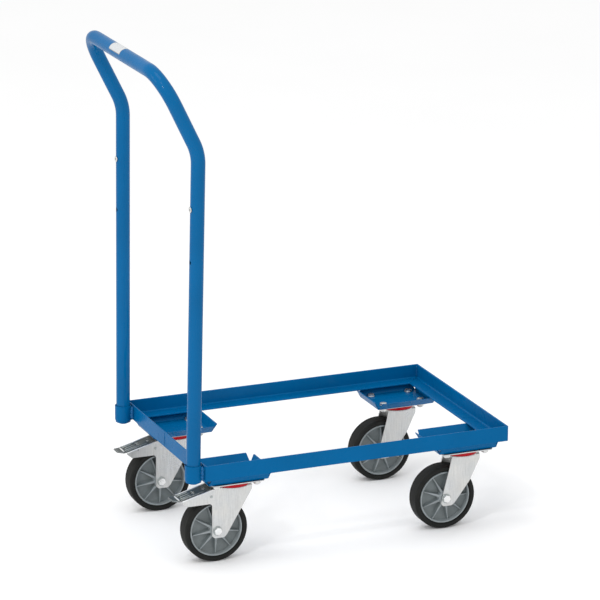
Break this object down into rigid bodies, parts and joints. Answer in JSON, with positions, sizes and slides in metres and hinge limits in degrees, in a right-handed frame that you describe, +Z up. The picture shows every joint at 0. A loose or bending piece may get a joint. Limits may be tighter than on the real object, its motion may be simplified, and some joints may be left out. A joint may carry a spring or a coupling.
{
  "type": "push-bar box dolly",
  "caption": "Box dolly: open angle-steel frame for a 600 x 400 mm box, swivel casters, foot brakes and a lift-out U-shaped push bar.",
  "frame": {"origin": "middle of the outer box, on the floor", "axes": "+X from the push bar to the open end, +Y to the far long side, +Z up"},
  "size_m": [0.7073, 0.423, 0.9575],
  "materials": {
    "blue": "semi-gloss powder coat",
    "zinc": "bright zinc plate",
    "grey_zinc": "dark zinc plate",
    "rubber": "matt charcoal rubber",
    "rim": "grey moulded plastic",
    "red": "red moulded plastic"
  },
  "bodies": {
    "frame": {"rail_near": "blue", "rail_far": "blue", "rail_handle_end": "blue", "rail_front_end": "blue", "bar_socket_near": "blue", "bar_socket_far": "blue", "tray_near_left": "blue", "caster_plate_near_left": "zinc", "kingpin_near_left": "zinc", "plate_bolt_near_left_1": "zinc", "plate_bolt_near_left_2": "zinc", "plate_bolt_near_left_3": "zinc", "plate_bolt_near_left_4": "zinc", "tray_near_right": "blue", "caster_plate_near_right": "zinc", "kingpin_near_right": "zinc", "plate_bolt_near_right_1": "zinc", "plate_bolt_near_right_2": "zinc", "plate_bolt_near_right_3": "zinc", "plate_bolt_near_right_4": "zinc", "tray_far_left": "blue", "caster_plate_far_left": "zinc", "kingpin_far_left": "zinc", "plate_bolt_far_left_1": "zinc", "plate_bolt_far_left_2": "zinc", "plate_bolt_far_left_3": "zinc", "plate_bolt_far_left_4": "zinc", "tray_far_right": "blue", "caster_plate_far_right": "zinc", "kingpin_far_right": "zinc", "plate_bolt_far_right_1": "zinc", "plate_bolt_far_right_2": "zinc", "plate_bolt_far_right_3": "zinc", "plate_bolt_far_right_4": "zinc"},
    "push_bar": {"push_bar": "blue", "rivet_nut_near": "zinc", "rivet_nut_far": "zinc"},
    "fork_near_left": {"fork_near_left": "zinc", "seal_ring_near_left": "red", "axle_bolt_near_left": "zinc"},
    "wheel_near_left": {"tyre_near_left": "rubber", "rim_near_left": "rim"},
    "brake_near_left": {"brake_pedal_near_left": "grey_zinc"},
    "fork_near_right": {"fork_near_right": "zinc", "seal_ring_near_right": "red", "axle_bolt_near_right": "zinc"},
    "wheel_near_right": {"tyre_near_right": "rubber", "rim_near_right": "rim"},
    "fork_far_left": {"fork_far_left": "zinc", "seal_ring_far_left": "red", "axle_bolt_far_left": "zinc"},
    "wheel_far_left": {"tyre_far_left": "rubber", "rim_far_left": "rim"},
    "brake_far_left": {"brake_pedal_far_left": "grey_zinc"},
    "fork_far_right": {"fork_far_right": "zinc", "seal_ring_far_right": "red", "axle_bolt_far_right": "zinc"},
    "wheel_far_right": {"tyre_far_right": "rubber", "rim_far_right": "rim"}
  },
  "joints": [
    {"name": "push_bar_lift", "type": "slide", "parent": "frame", "child": "push_bar", "axis": [0.0157, 0, 0.9999], "range_m": [0, 0.06]},
    {"name": "swivel_near_left", "type": "hinge", "parent": "frame", "child": "fork_near_left", "pos_m": [-0.1882, -0.148, 0.145], "axis": [0, 0, 1], "continuous": true},
    {"name": "wheel_spin_near_left", "type": "hinge", "parent": "fork_near_left", "child": "wheel_near_left", "pos_m": [-0.2232, -0.148, 0.0625], "axis": [0, 1, 0], "continuous": true},
    {"name": "brake_press_near_left", "type": "hinge", "parent": "fork_near_left", "child": "brake_near_left", "pos_m": [-0.2352, -0.148, 0.131], "axis": [0, -1, 0], "range_deg": [0, 8]},
    {"name": "swivel_near_right", "type": "hinge", "parent": "frame", "child": "fork_near_right", "pos_m": [0.2798, -0.148, 0.145], "axis": [0, 0, 1], "continuous": true},
    {"name": "wheel_spin_near_right", "type": "hinge", "parent": "fork_near_right", "child": "wheel_near_right", "pos_m": [0.2448, -0.148, 0.0625], "axis": [0, 1, 0], "continuous": true},
    {"name": "swivel_far_left", "type": "hinge", "parent": "frame", "child": "fork_far_left", "pos_m": [-0.1882, 0.148, 0.145], "axis": [0, 0, 1], "continuous": true},
    {"name": "wheel_spin_far_left", "type": "hinge", "parent": "fork_far_left", "child": "wheel_far_left", "pos_m": [-0.2232, 0.148, 0.0625], "axis": [0, 1, 0], "continuous": true},
    {"name": "brake_press_far_left", "type": "hinge", "parent": "fork_far_left", "child": "brake_far_left", "pos_m": [-0.2352, 0.148, 0.131], "axis": [0, -1, 0], "range_deg": [0, 8]},
    {"name": "swivel_far_right", "type": "hinge", "parent": "frame", "child": "fork_far_right", "pos_m": [0.2798, 0.148, 0.145], "axis": [0, 0, 1], "continuous": true},
    {"name": "wheel_spin_far_right", "type": "hinge", "parent": "fork_far_right", "child": "wheel_far_right", "pos_m": [0.2448, 0.148, 0.0625], "axis": [0, 1, 0], "continuous": true}
  ]
}
